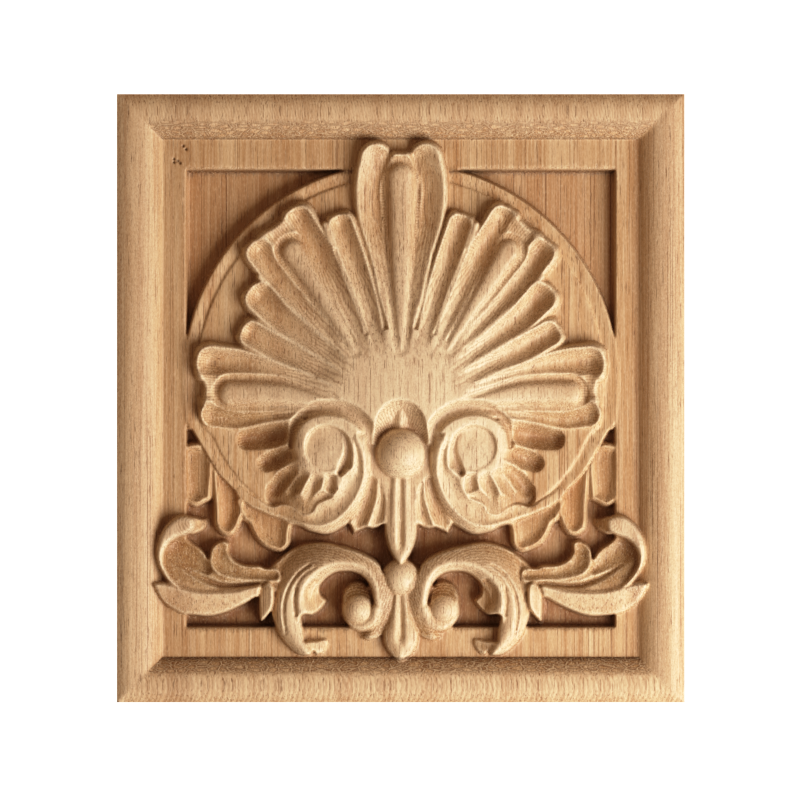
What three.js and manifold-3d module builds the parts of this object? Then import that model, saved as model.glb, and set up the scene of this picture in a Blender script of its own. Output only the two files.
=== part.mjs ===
// Carved oak corner block, one solid piece: a rounded frame moulding, a sunk field, and a relief
// of a scallop shell on a grooved disc, with volutes, hanging drops, scrolls and leaves below.
// Millimetres. The back lies at y = 0, the front looks towards -Y, +Z is up, and the origin is
// in the middle of the back.

import * as THREE from 'three';
import { mergeVertices } from 'three/addons/utils/BufferGeometryUtils.js';
import Module from 'manifold-3d';

const wasm = await Module();
wasm.setup();

// Board and frame
const block_w = 140;
const block_h = 150;
const board_t = 13.5;
const moulding_w = 11.2;
const moulding_rise = 3.2;
const crest_from_edge = 3.9;
const outer_fall = 1.5;
const fillet_side = 5.9;
const fillet_end = 7.4;
const recess_depth = 3.8;

// The carving is drawn in millimetres for a field of this size inside the moulding, and is
// stretched with the real field.
const drawn_field_w = 117.6;
const drawn_field_h = 127.6;
const scale_x = (block_w - 2 * moulding_w) / drawn_field_w;
const scale_z = (block_h - 2 * moulding_w) / drawn_field_h;

// How far each part of the relief stands above the flat fillet
const shell_rise = 8.3;
const tip_rise = 3.6;
const petal_lift = 2.4;
const petal_span = 21;
const bead_rise = 8.8;
const eye_rise = 7.6;
const band_rise = 4.4;
const tongue_rise = 5;
const scroll_rise = 4.4;
const bud_rise = 5.2;
const leaf_rise = 3;
const side_leaf_rise = 3.5;
const skirt_rise = 2;
const ground_rise = 1.2;
const curl_rise = 1.4;
const ledge = 0.45;

// Width of the thin rim left around each flute, and its depth as a share of its half width
const rim = 0.5;
const flute_share = 0.58;

// How far a cut reaches past its outline, so that it breaks cleanly through the surface
const overcut = 0.2;

const recess_floor = board_t - recess_depth;
const root = recess_floor - 1;
const clear = board_t + shell_rise + bead_rise;

// Curves and bodies

// A run is a list of stations [x, z, half width]. This gives the smooth station at t, 0 to 1.
function station(run, t) {
  const last = run.length - 1;
  const i = Math.min(Math.floor(t * last), last - 1);
  const f = t * last - i;
  return run[i].map((value, k) => {
    const next = run[i + 1][k];
    const before = i > 0 ? run[i - 1][k] : 2 * value - next;
    const after = i + 2 <= last ? run[i + 2][k] : 2 * next - value;
    const bend = 2 * before - 5 * value + 4 * next - after;
    const twist = 3 * (value - next) + after - before;
    return value + 0.5 * f * (next - before + f * (bend + f * twist));
  });
}

// Cross rows of a strip along a run, with two more that round its first end and one its last
function rowsOf(run, steps, grow) {
  const rows = [];
  for (let i = 0; i <= steps; i += 1) {
    const t = i / steps;
    const [x, z, r] = station(run, t);
    const a = station(run, Math.max(t - 0.01, 0));
    const b = station(run, Math.min(t + 0.01, 1));
    const length = Math.hypot(b[0] - a[0], b[1] - a[1]);
    const tx = (b[0] - a[0]) / length;
    const tz = (b[1] - a[1]) / length;
    rows.push({ x, z, r, tx, tz, reach: 0, half: r + grow });
  }
  const first = rows[0];
  const last = rows[rows.length - 1];
  for (const angle of [Math.PI * 0.23, Math.PI * 0.42]) {
    const reach = -first.half * Math.sin(angle);
    rows.unshift({ ...first, reach, half: first.half * Math.cos(angle) });
  }
  const angle = Math.PI / 3;
  rows.push({ ...last, reach: last.half * Math.sin(angle), half: last.half * Math.cos(angle) });
  return rows;
}

// Only the positions, with shared corners, so that the mesh is closed
function bare(geometry) {
  geometry.deleteAttribute('normal');
  geometry.deleteAttribute('uv');
  return mergeVertices(geometry);
}

// A strip along a run is a box bent to its shape. The floor and roof give the level above the
// back from q, 0 on the centre line and 1 at the edge, from the place and from the half width.
function strip(run, steps, across, grow, floor, roof) {
  const rows = rowsOf(run, steps, grow);
  const body = bare(new THREE.BoxGeometry(1, 1, 1, rows.length - 1, across, 1));
  const place = body.attributes.position;
  for (let i = 0; i < place.count; i += 1) {
    const row = rows[Math.round((place.getX(i) + 0.5) * (rows.length - 1))];
    const side = 2 * place.getY(i) * row.half;
    const x = row.x + row.tx * row.reach - row.tz * side;
    const z = row.z + row.tz * row.reach + row.tx * side;
    const q = Math.hypot(row.reach, side) / row.r;
    const level = place.getZ(i) > 0 ? roof(q, x, z, row.r) : floor(q, x, z, row.r);
    place.setXYZ(i, x * scale_x, -level, z * scale_z);
  }
  return body;
}

function volume(body) {
  const place = body.attributes.position;
  const corner = [new THREE.Vector3(), new THREE.Vector3(), new THREE.Vector3()];
  let sum = 0;
  for (let i = 0; i < body.index.count; i += 3) {
    corner.forEach((point, k) => point.fromBufferAttribute(place, body.index.getX(i + k)));
    sum += corner[0].dot(corner[1].cross(corner[2]));
  }
  return sum / 6;
}

// A closed mesh becomes a solid, turned right side out if it needs it.
function solid(body) {
  const triangles = Uint32Array.from(body.index.array);
  if (volume(body) < 0) {
    triangles.reverse();
  }
  const points = Float32Array.from(body.attributes.position.array);
  const mesh = new wasm.Mesh({ numProp: 3, vertProperties: points, triVerts: triangles });
  return new wasm.Manifold(mesh);
}

// The body and its twin on the other side of the middle
function pair(body) {
  const twin = body.clone();
  twin.scale(-1, 1, 1);
  return solid(body).add(solid(twin));
}

function joined(solids) {
  return solids.reduce((sum, next) => sum.add(next));
}

const from_root = () => root;
const to_clear = () => clear;

// A convex roll: crest and edge are heights above the fillet.
function roll(run, steps, across, crest, edge) {
  const roof = (q) => board_t + edge + (crest - edge) * (1 - Math.min(q, 1) ** 2);
  return strip(run, steps, across, 0, from_root, roof);
}

// A flat plate along a run
function plate(run, steps, rise) {
  return strip(run, steps, 1, 0, from_root, () => board_t + rise);
}

// A spoon cut into a surface that lies at this height above the fillet
function spoon(run, steps, across, rise) {
  const floor = (q, x, z, r) => board_t + rise - flute_share * r * (1 - q * q);
  return strip(run, steps, across, rim, floor, to_clear);
}

// A dome of revolution on a round foot, its axis along Y, at a place [x, z, radius]
function dome([x, z, radius], crest, edge) {
  const profile = [new THREE.Vector2(0, root)];
  const rings = 3;
  for (let i = 0; i <= rings; i += 1) {
    const angle = (Math.PI / 2) * (i / rings);
    const level = board_t + edge + (crest - edge) * Math.sin(angle);
    profile.push(new THREE.Vector2(radius * Math.cos(angle), level));
  }
  profile[profile.length - 1].x = 0;
  const body = bare(new THREE.LatheGeometry(profile, 12));
  const place = body.attributes.position;
  for (let i = 0; i < place.count; i += 1) {
    const along_x = (x + place.getX(i)) * scale_x;
    const along_z = (z + place.getZ(i)) * scale_z;
    place.setXYZ(i, along_x, -place.getY(i), along_z);
  }
  return body;
}

// Board with its frame moulding, mitred at the corners, and the sunk field

// Height of the moulding at a distance from the outer edge: a short fall outwards from its crest,
// and a long one inwards down to the fillet
function mouldingLevel(distance) {
  const outwards = Math.max(crest_from_edge - distance, 0) / crest_from_edge;
  const inwards = Math.max(distance - crest_from_edge, 0) / (moulding_w - crest_from_edge);
  return board_t + moulding_rise - outer_fall * outwards ** 2 - moulding_rise * inwards ** 2;
}

function framedBoard() {
  const steps = 9;
  const reach = Math.max(block_w, block_h);
  const profile = [new THREE.Vector2(0, 0), new THREE.Vector2(reach, 0)];
  for (let i = 0; i <= steps; i += 1) {
    const distance = (moulding_w * i) / steps;
    profile.push(new THREE.Vector2(reach - distance, mouldingLevel(distance)));
  }
  profile.push(new THREE.Vector2(0, board_t));
  const body = bare(new THREE.LatheGeometry(profile, 4, Math.PI / 4));
  const place = body.attributes.position;
  for (let i = 0; i < place.count; i += 1) {
    const radius = Math.hypot(place.getX(i), place.getZ(i));
    const inset = radius > moulding_w ? reach - radius : 0;
    const half_w = radius > moulding_w ? block_w / 2 - inset : 0;
    const half_h = radius > moulding_w ? block_h / 2 - inset : 0;
    const x = Math.sign(place.getX(i)) * half_w;
    const z = Math.sign(place.getZ(i)) * half_h;
    place.setXYZ(i, x, -place.getY(i), z);
  }
  const recess_w = block_w - 2 * (moulding_w + fillet_side);
  const recess_h = block_h - 2 * (moulding_w + fillet_end);
  const sunk = new THREE.BoxGeometry(recess_w, 2 * recess_depth, recess_h);
  sunk.translate(0, -board_t, 0);
  return solid(body).subtract(solid(bare(sunk)));
}

// Disc behind the shell, with a groove inside its rim. Its lower edge flattens into the band.

const disc_r = 54.1;
const disc_z = 4.3;
const groove_r = 50.4;
const disc_foot = THREE.MathUtils.degToRad(-14);
const disc_sweep = [[20, -30], [30, -29.5], [38, -26], [45, -19], [49, -12.5]];

function discOutline() {
  const shape = new THREE.Shape();
  shape.absarc(0, disc_z, disc_r, disc_foot, Math.PI - disc_foot, false);
  disc_sweep.toReversed().forEach(([x, z]) => shape.lineTo(-x, z));
  disc_sweep.forEach(([x, z]) => shape.lineTo(x, z));
  return shape;
}

function disc() {
  const shape = discOutline();
  const options = { depth: board_t + ledge - root, bevelEnabled: false, curveSegments: 15 };
  const body = new THREE.ExtrudeGeometry(shape, options);
  body.translate(0, 0, root);
  body.rotateX(Math.PI / 2);
  body.scale(scale_x, 1, scale_z);
  return solid(bare(body));
}

function grooveRun() {
  const upper = [];
  for (let degrees = 90; degrees >= 0; degrees -= 15) {
    const angle = THREE.MathUtils.degToRad(degrees);
    upper.push([groove_r * Math.cos(angle), disc_z + groove_r * Math.sin(angle), 1]);
  }
  return [...upper, [46.5, -9, 1], [43.3, -15.8, 1], [39.2, -21, 1], [34, -25.2, 0.8]];
}

const groove_depth = 0.9;
const groove_floor = (q) => board_t + ledge - groove_depth * (1 - q);

// Shell: a low dome cut by flutes that fan out from the plain centre

const dome_z = 2;
const dome_r = 45;

function domeLevel(x, z) {
  const r = Math.hypot(x, z - dome_z);
  const swell = 0.5 + 0.5 * Math.cos((Math.PI * Math.min(r, dome_r)) / dome_r);
  const lift = petal_lift * (Math.max(r - dome_r, 0) / petal_span) ** 2;
  return board_t + tip_rise + (shell_rise - tip_rise) * swell + lift;
}

// The rings of the dome, as shares of its radius, the outer ones past the ends of the petals
const dome_rings = [1.6, 1.34, 1.07, 0.8, 0.55, 0.29];

function domeBody() {
  const profile = [new THREE.Vector2(0, root)];
  const radii = dome_rings.map((share) => share * dome_r);
  profile.push(new THREE.Vector2(radii[0], root));
  radii.forEach((r) => profile.push(new THREE.Vector2(r, domeLevel(r, dome_z))));
  profile.push(new THREE.Vector2(0, domeLevel(0, dome_z)));
  const body = bare(new THREE.LatheGeometry(profile, 16));
  const place = body.attributes.position;
  for (let i = 0; i < place.count; i += 1) {
    const z = (place.getZ(i) + dome_z) * scale_z;
    place.setXYZ(i, place.getX(i) * scale_x, -place.getY(i), z);
  }
  return solid(body);
}

// Flutes on the right, from the tip inwards
const flutes = [
  [[6.2, 59.2, 4.5], [7.9, 53, 3.9], [7.5, 45, 3.8], [5.7, 35, 2.7], [3.8, 25, 1.7], [2, 15, 0.8]],
  [[14.7, 42.8, 3.3], [12, 35, 3.2], [8.9, 26, 2.8], [6.6, 18, 2.4], [4.8, 12.3, 1.7]],
  [[25.2, 44.3, 3.7], [20, 35.3, 3.8], [15.7, 27.3, 2.9], [11.2, 18, 2.1], [8.4, 10.5, 1.2]],
  [[34.5, 36, 3.9], [30, 29.7, 3.4], [24, 22.9, 2.6], [18, 16.6, 2], [12.8, 10.6, 1.1]],
  [[34.4, 24.9, 4.3], [30, 20.2, 3.6], [24, 15.6, 2.9], [18, 11.2, 2.2], [12.8, 7.2, 1.4]],
  [[36.7, 15.9, 3.5], [30, 12.1, 3.4], [24, 9.3, 2.8], [18, 6.3, 2.2], [14, 3.9, 1.4]],
  [[46.6, 8.6, 4.6], [40, 8.5, 3.7], [33, 7.3, 2.6], [25, 5, 2], [16, 1.4, 1.2]],
  [[46.2, -3.9, 3.4], [40, -4.9, 2.8], [33, -4.1, 2.1], [26, -3.4, 1.4], [20, -2.7, 0.7]],
  [[37.9, -10.2, 2.9], [33, -9.4, 3.3], [26, -8, 2.8]],
  [[33.2, -16, 2.5], [30, -14.8, 2.6], [25.8, -12.9, 2.2]],
  [[31, -23, 2.6], [28.5, -20, 2.5], [24.8, -16.6, 2]],
  [[27.2, -23.8, 1.9], [25, -20, 1.9], [23, -17.6, 1.5]],
  [[23.4, -26.3, 1.9], [21.7, -22, 1.9], [20, -18.4, 1.5]],
  [[17.4, -22.2, 1.8], [17.1, -18.4, 1.4]],
  [[13, -16.4, 1.2], [13, -14.2, 1]],
];

// Short cuts that join the two lobes of each double petal around its tongue
const petal_bridges = [
  [[27.6, 42.1, 2.6], [29.8, 40.1, 2.3], [32.2, 38.1, 2.7]],
  [[46.6, 5.6, 2.6], [46.5, 2.4, 1.9], [46.5, -1.2, 2.4]],
];
const top_bridge = [[-3.6, 58.8, 2.6], [0, 58.7, 2.1], [3.6, 58.8, 2.6]];

// Convex tongues that lie in the double petals, and the rib of the top petal
const petal_tongues = [
  [[26.6, 36.2, 3.3], [23, 30.5, 2.6], [19, 24.2, 1.9], [15.2, 18, 1.2], [11.5, 12, 0.5]],
  [[41.8, 1.2, 3.5], [36, 1.3, 3.3], [30, 1.1, 3], [24, 0.2, 2.2], [17.5, -1, 0.9]],
];
const top_rib = [[0, 54.5, 3.9], [0, 45, 3.6], [0, 34, 2.9], [0, 23, 1.9], [0, 12.5, 0.5]];

// The grounds that carry the flutes between the petals and around the volutes
const centre_ground = [[-9, 1, 13], [0, 3, 15], [9, 1, 13]];
const eye_ground = [[19.4, -11.1, 8.7], [18, -11.9, 8]];
const volute_ground = [[25, -20, 6.5], [18.5, -22, 5.6], [13, -17, 5]];
const band_ground = [[9.3, -13, 2.1], [9.6, -18, 2.6], [13.4, -25, 4.1], [18.8, -29.2, 4.5]];

function flute(run, steps, across) {
  const floor = (q, x, z, r) => domeLevel(x, z) - flute_share * r * (1 - q * q);
  return strip(run, steps, across, rim, floor, to_clear);
}

const tongue_sink = 0.5;
const tongue_fall = 1.9;

function tongue(run, steps, across) {
  const roof = (q, x, z) => domeLevel(x, z) - tongue_sink - tongue_fall * q * q;
  return strip(run, steps, across, 0, from_root, roof);
}

function shell() {
  const outline = [...flutes, ...petal_bridges, ...petal_tongues];
  const grounds = [eye_ground, volute_ground, band_ground];
  const prisms = [
    ...outline.map((run) => pair(strip(run, run.length - 1, 1, rim, from_root, to_clear))),
    ...grounds.map((run) => pair(strip(run, run.length - 1, 1, 0, from_root, to_clear))),
    solid(strip(top_bridge, 4, 1, rim, from_root, to_clear)),
    solid(strip(top_rib, 2, 1, 0, from_root, to_clear)),
    solid(strip(centre_ground, 6, 1, 0, from_root, to_clear)),
  ];
  let body = joined(prisms).intersect(domeBody()).add(bands());
  for (const run of [...flutes, ...petal_bridges]) {
    body = body.subtract(pair(flute(run, run.length - 1, run[0][2] > 3 ? 4 : 3)));
  }
  body = body.subtract(solid(flute(top_bridge, 4, 4)));
  const tongues = petal_tongues.map((run) => pair(tongue(run, 3, 3)));
  return joined([body, ...tongues, solid(tongue(top_rib, 3, 3))]);
}

// Volutes: a groove around each, a hollow eye, a spiral roll and a round button

const volute_groove = [[7.6, -12.8, 1], [9.3, -7.2, 1.2], [15, -3.9, 1.2], [21, -4.4, 1.2],
  [25.2, -8.6, 1.1], [25.8, -13, 0.8]];
const volute_groove_depth = 1.8;
const eye_hollow = [[18.5, -11.9, 5.4], [18, -11.9, 5.4]];
const eye_depth = 2.4;
const button = [18.3, -12.3, 4.2];
const spiral_lift = 0.7;
const spiral_fall = 1.6;
const spiral = [[17, -17.1, 0.7], [20.8, -16.9, 0.9], [23.6, -13.9, 1], [23.6, -9.9, 1],
  [20.8, -6.8, 1], [16.5, -5.9, 1.1], [12.8, -7.4, 1.3], [10.5, -10.8, 1.4], [9.6, -15, 1.2],
  [10, -20, 1.2], [12.2, -25.2, 1.1], [16, -29, 1], [20.5, -30.8, 0.8]];

function volutes(body) {
  const cut = (run, steps, depth) => {
    const floor = (q, x, z) => domeLevel(x, z) - depth * (1 - q * q);
    return pair(strip(run, steps, 2, overcut, floor, to_clear));
  };
  const grooved = body.subtract(cut(volute_groove, 8, volute_groove_depth));
  const sunk = grooved.subtract(cut(eye_hollow, 1, eye_depth));
  const crest = (q, x, z) => domeLevel(x, z) + spiral_lift - spiral_fall * q * q;
  const rolled = pair(strip(spiral, 16, 2, 0, from_root, crest));
  return joined([sunk, rolled, pair(dome(button, eye_rise, band_rise))]);
}

// Band that runs from under each volute out into the disc's rim
const band = [[19, -30.2, 3.5], [25, -29.2, 2.6], [31, -27.8, 2.4]];

const band_start_x = 15;
const band_end_x = 37;

function bands() {
  const fall = (x) => THREE.MathUtils.mapLinear(x, band_start_x, band_end_x, tip_rise, ledge);
  const level = (q, x) => board_t + fall(x);
  return pair(strip(band, 3, 1, 0, from_root, level));
}

// Drops that hang below the band
const drops = [
  [[49.8, -22.2, 4.2], [49.8, -12, 4.2]],
  [[42, -29.8, 3.9], [42, -18, 3.9]],
  [[31.2, -32.5, 5.2], [31.3, -26, 5.2]],
];

const drop_rim = 0.9;
const drop_bevel = 0.3;

function dropBodies() {
  const hung = drops.map((run) => pair(plate(run, 1, 0)));
  const cuts = drops.map(([a, b]) => {
    const inner = [[a[0], a[1], a[2] - drop_rim], [b[0], b[1], b[2] - drop_rim]];
    return pair(spoon(inner, 1, 4, -drop_bevel));
  });
  return joined(hung).subtract(joined(cuts));
}

// Bead under its hood, the middle tongue and the side leaves

const bead = [0, -13.7, 6.4];
const hood = [[0, -8, 6.8], [0, -9.5, 6.8]];
const hood_depth = 4;
const middle_tongue = [[0, -19, 2.8], [0, -26, 3.6], [0, -31, 4.3], [0, -36, 3.3], [0, -41, 0.6]];
const middle_tongue_edge = 2;
const skirt = [[7.4, -29, 3.3], [6.4, -25, 3.6], [5, -19, 3]];
const side_leaves = [
  [[5.7, -31.3, 1.2], [4.9, -27, 1.8], [5, -21.5, 1]],
  [[10.7, -32.2, 1.3], [8.4, -27, 2.3], [7.4, -20, 1.6]],
];

function hoodHollow() {
  const floor = (q, x, z) => domeLevel(x, z) - hood_depth * (1 - q * q);
  return solid(strip(hood, 1, 4, overcut, floor, to_clear));
}

function middle() {
  const small_leaves = side_leaves.map((run) => pair(roll(run, 3, 2, side_leaf_rise, ledge)));
  return joined([
    solid(dome(bead, bead_rise, tip_rise)),
    solid(roll(middle_tongue, 5, 2, tongue_rise, middle_tongue_edge)),
    pair(plate(skirt, 3, skirt_rise)),
    ...small_leaves,
  ]);
}

// Scrolls: a ground, an inner roll with a round end, an outer roll with a foot, a ball and a barb

const scroll_ground = [[3.9, -53, 2.3], [5, -46, 2.6], [9, -41.4, 2.8], [15, -40, 3.4],
  [21.5, -42.8, 4.2], [25.4, -48, 4.4], [26.3, -55, 4.2], [23.6, -60, 3.2]];
const inner_roll = [[20.8, -50.4, 3.1], [20.4, -47, 2.5], [17.8, -43.4, 1.7], [13.2, -41.4, 1.4],
  [8.4, -42.8, 1.4], [5.2, -46.8, 1.3], [4.9, -51, 1.2], [7.2, -55.6, 1.2]];
const outer_roll = [[20.6, -61.2, 1.6], [25.4, -60, 3.1], [28.1, -55.4, 3.1], [28.3, -50, 3],
  [27.2, -44.8, 3.1], [23.4, -40.4, 2.9], [18, -38.3, 2.5], [12, -38.7, 2.2], [7.5, -40.4, 1.9]];
const ramp = [[9.4, -48.4, 2.6], [11.6, -48.8, 2.6]];
const ramp_drop = 1.6;
const ball = [10.7, -52.5, 3.8];
const ball_edge = 1;
const bud = [0, -44.6, 4.8];
const bud_edge = 0.5;
const inner_roll_edge = 2;
const outer_roll_rise = 3.4;
const barb_rise = 3.2;
const barb_edge = 1;
const ball_lobe = [[4.8, -56.4, 2.4], [7.8, -57.2, 2.5]];
const barb = [[29.5, -42.5, 2], [32, -46, 2.4], [33, -50, 1.9], [34.1, -54.8, 0.5]];
const lower_tongue = [[0, -48, 1.8], [0, -53, 2.6], [0, -58.6, 4.4], [0, -61.6, 3], [0, -64, 0.6]];

function scrolls() {
  return joined([
    pair(plate(scroll_ground, 6, ground_rise)),
    pair(roll(inner_roll, 9, 3, scroll_rise, inner_roll_edge)),
    pair(roll(outer_roll, 9, 3, outer_roll_rise, ledge)),
    pair(plate(ramp, 1, -ramp_drop)),
    pair(plate(ball_lobe, 1, curl_rise)),
    pair(roll(barb, 3, 2, barb_rise, barb_edge)),
    pair(dome(ball, scroll_rise, ball_edge)),
    solid(dome(bud, bud_rise, bud_edge)),
    solid(roll(lower_tongue, 5, 2, scroll_rise, ledge)),
  ]);
}

// Leaves at the lower corners: a crescent, two scooped lobes and a rolled outer edge

const crescent = [[35.5, -48.3, 1.2], [40, -50, 2.4], [46, -51, 3], [52, -50.6, 3],
  [57.5, -48.4, 1.8], [60, -46.4, 0.6]];
const leaf_ground = [[36, -43.8, 2.8], [42, -43.8, 3.2], [48, -42.8, 4], [53, -40, 5]];
const leaf_lobe = [[44.2, -37.9, 3.1], [43, -42, 3]];
const rolled_edge = [[48.2, -30.8, 1.4], [52.5, -31.4, 2.2], [56.6, -33.6, 2.4],
  [58.6, -37.4, 1.9], [58.9, -41, 1.4], [57.6, -44, 1]];
const lobe_flutes = [
  [[44.1, -38, 2.4], [42.8, -42, 2.2], [37, -43.9, 1.6]],
  [[53, -39.4, 3.8], [48.6, -42.4, 2.6], [42, -45, 1]],
];

const lobe_rise = 2.3;
const rolled_rise = 3.6;

function leaves() {
  const flat = (run) => pair(plate(run, run.length - 1, lobe_rise));
  const cut = (run) => pair(spoon(run, run.length - 1, 4, lobe_rise));
  return joined([
    joined([leaf_ground, leaf_lobe].map(flat)).subtract(joined(lobe_flutes.map(cut))),
    pair(roll(crescent, 5, 3, leaf_rise, ledge)),
    pair(roll(rolled_edge, 6, 2, rolled_rise, ledge)),
  ]);
}

// The whole block

const ringed = disc().subtract(pair(strip(grooveRun(), 16, 2, 0, groove_floor, to_clear)));
const relief = volutes(shell()).subtract(hoodHollow());
const block = joined([framedBoard(), dropBodies(), ringed, relief, middle(), scrolls(), leaves()]);

const mesh = block.getMesh();
const geometry = new THREE.BufferGeometry();
geometry.setAttribute('position', new THREE.BufferAttribute(mesh.vertProperties, 3));
geometry.setIndex(new THREE.BufferAttribute(mesh.triVerts, 1));
geometry.computeVertexNormals();

const oak = new THREE.MeshStandardMaterial({ color: 0xc49a66, roughness: 0.62, metalness: 0 });
const carved_block = new THREE.Mesh(geometry, oak);
carved_block.name = 'carved_block';

const group = new THREE.Group();
group.add(carved_block);

export default group;
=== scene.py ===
import math

import bmesh
import bpy
import numpy as np
from mathutils import Matrix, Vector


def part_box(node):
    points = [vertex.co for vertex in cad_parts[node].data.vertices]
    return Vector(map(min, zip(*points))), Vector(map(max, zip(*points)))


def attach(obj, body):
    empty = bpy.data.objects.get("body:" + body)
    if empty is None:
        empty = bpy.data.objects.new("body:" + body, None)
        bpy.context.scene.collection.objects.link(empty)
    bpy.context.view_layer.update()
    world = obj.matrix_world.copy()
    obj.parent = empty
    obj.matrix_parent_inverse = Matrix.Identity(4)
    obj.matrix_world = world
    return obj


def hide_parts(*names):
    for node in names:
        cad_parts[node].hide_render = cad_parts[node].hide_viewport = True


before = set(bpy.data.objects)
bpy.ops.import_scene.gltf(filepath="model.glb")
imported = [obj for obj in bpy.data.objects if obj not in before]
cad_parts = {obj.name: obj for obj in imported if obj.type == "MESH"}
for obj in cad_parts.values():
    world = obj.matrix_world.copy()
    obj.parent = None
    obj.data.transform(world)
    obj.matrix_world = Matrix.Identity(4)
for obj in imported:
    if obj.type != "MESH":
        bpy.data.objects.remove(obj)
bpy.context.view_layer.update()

# Board and frame. One flat sawn oak board, cut from the front alone, so its face is a net of
# heights above the back, in mm, over the right half. Its edge is a bold rounded moulding, mitred
# at the corners, with a flat fillet inside it and a field sunk behind the carving.

mm = 0.001
low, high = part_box("carved_block")
block_w = (high.x - low.x) / mm
block_h = (high.z - low.z) / mm
block_t = 13.5
moulding_w = 11.2
crest_from_edge = 3.9
moulding_rise = 3.2
outer_fall = 1.2
inner_bow = 2.5
recess_depth = 3.8
recess_corner = 0.35
fillet_side = 5.9
fillet_end = 7.4
drawn_field_w = 117.6
drawn_field_h = 127.6
scale_x = (block_w - 2 * moulding_w) / drawn_field_w
scale_z = (block_h - 2 * moulding_w) / drawn_field_h

cell = 0.25
across = np.linspace(0, block_w / 2, round(block_w / 2 / cell) + 1)
up = np.linspace(-block_h / 2, block_h / 2, round(block_h / cell) + 1)
real_x, real_z = np.meshgrid(across, up)
net_x = real_x / scale_x
net_z = real_z / scale_z


def wall(gap, width):
    """How much of a form's height is reached this far inside its outline: steep foot, round top"""
    return 1 - (1 - np.clip(-gap / width, 0, 1)) ** 2


from_edge = np.minimum(block_w / 2 - real_x, block_h / 2 - abs(real_z))
outer = np.clip((crest_from_edge - from_edge) / crest_from_edge, 0, 1)
inner = np.clip((from_edge - crest_from_edge) / (moulding_w - crest_from_edge), 0, 1)
face = block_t + moulding_rise - outer_fall * outer ** 2 - moulding_rise * inner ** inner_bow
combed, passes, torn_grain_and_painted_shade, orange = (np.zeros(face.shape) for _ in range(4))

half_w = block_w / 2 - moulding_w - fillet_side
half_h = block_h / 2 - moulding_w - fillet_end
recess_edge = np.maximum(real_x - half_w, abs(real_z) - half_h)
face -= recess_depth * wall(recess_edge, recess_corner)

# Disc behind the shell: a flat round turned in relief, with a sloping rim and a fine step inside
# it. Below, its edge leaves the circle and sweeps in under the volutes.

disc_r = 54.1
disc_z = 4.3
disc_lift = 0.2
disc_corner = 0.45
step_r = 50.4
rim_fall = 0.45
rim_run = 3.4
low_angle = math.radians(-13)
turn_steps = 40


def ease(t):
    """A smooth step from 0 to 1"""
    t = np.clip(t, 0, 1)
    return t * t * (3 - 2 * t)


def bend(a, b, c, d, t):
    """A smooth line through a, b, c and d: its point at this share of the way from b to c"""
    return b + 0.5 * t * (c - a + t * (2 * a - 5 * b + 4 * c - d + t * (3 * (b - c) + d - a)))


def window(x0, x1, z0, z1):
    """The part of the net that holds this box"""
    rows = np.searchsorted(net_z[:, 0], [z0, z1])
    columns = np.searchsorted(net_x[0], [x0, x1])
    return slice(*rows), slice(*columns)


def outlined(points, pad=0.5, round_off=True):
    """Around a closed outline: its part of the net and the gap to its edge, below 0 inside"""
    points = np.array(points, float)
    if round_off:
        stations = [np.roll(points, k, axis=0)[:, None] for k in (1, 0, -1, -2)]
        t = (np.arange(6) / 6)[None, :, None]
        points = bend(*stations, t).reshape(-1, 2)
    low_x, low_z = points.min(0) - pad
    high_x, high_z = points.max(0) + pad
    part = window(low_x, high_x, low_z, high_z)
    x, z = net_x[part], net_z[part]
    distance = np.full(x.shape, np.inf)
    inside = np.zeros(x.shape, bool)
    for (ax, az), (bx, bz) in zip(points, np.roll(points, -1, axis=0)):
        dx, dz = bx - ax, bz - az
        t = np.clip(((x - ax) * dx + (z - az) * dz) / max(dx * dx + dz * dz, 1e-9), 0, 1)
        distance = np.minimum(distance, np.hypot(x - ax - t * dx, z - az - t * dz))
        crosses = (az > z) != (bz > z)
        inside ^= crosses & (x < ax + dx * (z - az) / (dz if dz else 1e-9))
    return part, np.where(inside, -distance, distance)


def laid(part, values):
    """A field over the whole net, 0 outside this part of it"""
    field = np.zeros(net_x.shape)
    field[part] = values
    return field


def build_up(part, level, cover):
    """A form stands up to this level where it is covered"""
    face[part] = np.maximum(face[part], face[part] + (level - face[part]) * cover)


turn = [math.pi / 2 - (math.pi / 2 - low_angle) * i / turn_steps for i in range(turn_steps + 1)]
rim_line = [[disc_r * math.cos(a), disc_z + disc_r * math.sin(a)] for a in turn]
rim_sweep = [[51.7, -8], [49.4, -12], [45.2, -19], [40.8, -23.4], [37.1, -27.1], [32, -29.4],
             [26, -31], [18, -28], [-3, -20]]
part, gap = outlined([[-3, disc_z + disc_r], *rim_line, *rim_sweep], round_off=False)
in_disc = laid(part, wall(gap, 0.3))
step_line = [[step_r * math.cos(a), disc_z + step_r * math.sin(a)] for a in turn]
step_sweep = [[46.4, -9.2], [44.2, -13.8], [42, -17.2], [39, -21], [36, -23.7], [33, -25.9],
              [28, -28], [16, -24], [-3, -16]]
ring, beyond = outlined([[-3, disc_z + step_r], *step_line, *step_sweep], pad=6, round_off=False)
rim_slope = laid(ring, np.where(beyond > 0, rim_fall * ease(1 - beyond / rim_run), 0))
level = block_t + disc_lift - rim_slope[part]
build_up(part, level, wall(gap, disc_corner))
face[part] = np.where(gap < -1, level, face[part])

# Drops: three pendants hang from the disc on each side. Each is a shallow scoop inside a bevelled
# rim about a millimetre wide, cut straight down to the sunk field.

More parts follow.
